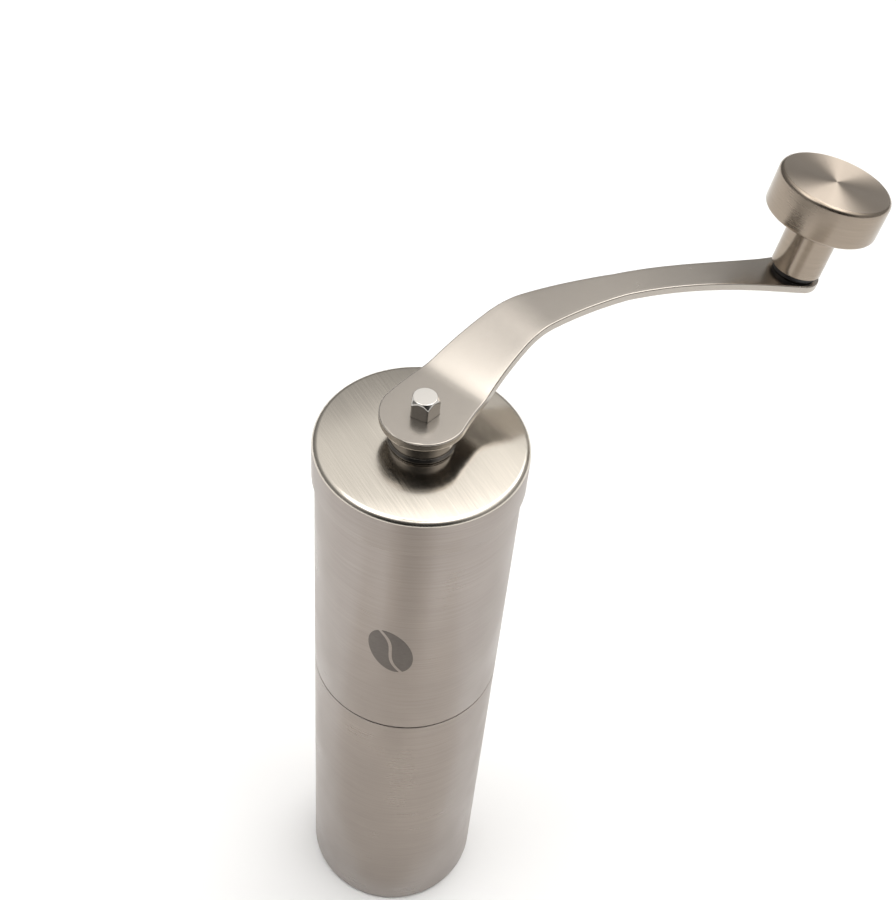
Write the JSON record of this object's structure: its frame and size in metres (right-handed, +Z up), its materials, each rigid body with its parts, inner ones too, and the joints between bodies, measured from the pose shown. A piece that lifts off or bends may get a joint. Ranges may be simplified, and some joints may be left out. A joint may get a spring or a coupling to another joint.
{
  "type": "hand coffee grinder",
  "caption": "Hand crank coffee grinder: brushed steel tube, lift-off lid, joggled steel crank with a spinning steel knob, conical ceramic burrs",
  "frame": {"origin": "centre of the container's flat base, on the surface the grinder stands on", "axes": "+Z up along the drive shaft; +X from the shaft's axis toward the knob's pivot, with the crank at rest; +Y completes a right-handed frame"},
  "size_m": [0.144, 0.0484, 0.2134],
  "materials": {
    "brushed_tube": "fine brushing around the tube",
    "satin_arm": "satin with soft edges",
    "knob_steel": "spun top, brushed sides",
    "polished_steel": "polished",
    "black_plastic": "matte black",
    "pale_plastic": "matte off-white",
    "burr_ceramic": "matte, fired",
    "brass": "turned"
  },
  "bodies": {
    "container": {"container": "brushed_tube"},
    "upper": {"upper_tube": "brushed_tube", "shaft_guide": "black_plastic", "guide_bush": "polished_steel", "burr_housing": "black_plastic", "outer_burr": "burr_ceramic", "burr_clamp": "pale_plastic"},
    "lid": {"lid_shell": "brushed_tube", "lid_liner": "black_plastic"},
    "shaft": {"drive_shaft": "polished_steel", "thrust_washer": "polished_steel"},
    "burr": {"inner_burr": "burr_ceramic", "burr_driver": "black_plastic", "detent_plate": "polished_steel", "spring": "polished_steel"},
    "adjuster": {"adjuster_dial": "pale_plastic", "dial_insert": "brass"},
    "crank": {"crank_arm": "satin_arm", "crank_boss": "polished_steel", "knob_rivet": "polished_steel", "knob_washer": "black_plastic"},
    "knob": {"knob_neck": "knob_steel", "knob_bush": "black_plastic", "knob_head": "knob_steel"}
  },
  "joints": [
    {"name": "upper_lift", "type": "slide", "parent": "container", "child": "upper", "axis": [0, 0, 1], "range_m": [0, 0.05]},
    {"name": "shaft_spin", "type": "hinge", "parent": "upper", "child": "shaft", "pos_m": [0, 0, 0.12], "axis": [0, 0, 1], "continuous": true},
    {"name": "adjuster_turn", "type": "hinge", "parent": "burr", "child": "adjuster", "pos_m": [0, 0, 0.064], "axis": [0, 0, 1], "range_deg": [-540, 0]},
    {"name": "burr_travel", "type": "slide", "parent": "shaft", "child": "burr", "axis": [0, 0, 1], "range_m": [-0.0012, 0], "deforming": ["spring"]},
    {"name": "crank_lift", "type": "slide", "parent": "shaft", "child": "crank", "axis": [0, 0, 1], "range_m": [0, 0.04]},
    {"name": "lid_lift", "type": "slide", "parent": "upper", "child": "lid", "axis": [0, 0, 1], "range_m": [0, 0.032]},
    {"name": "knob_spin", "type": "hinge", "parent": "crank", "child": "knob", "pos_m": [0.1017, 0, 0.18638], "axis": [0.2028, 0, 0.9792], "continuous": true}
  ],
  "couplings": [
    {"joint": "burr_travel", "follows": "adjuster_turn", "m_per_rad": 0.00012732},
    {"joint": "lid_lift", "follows": "crank_lift", "ratio": 0.8}
  ]
}
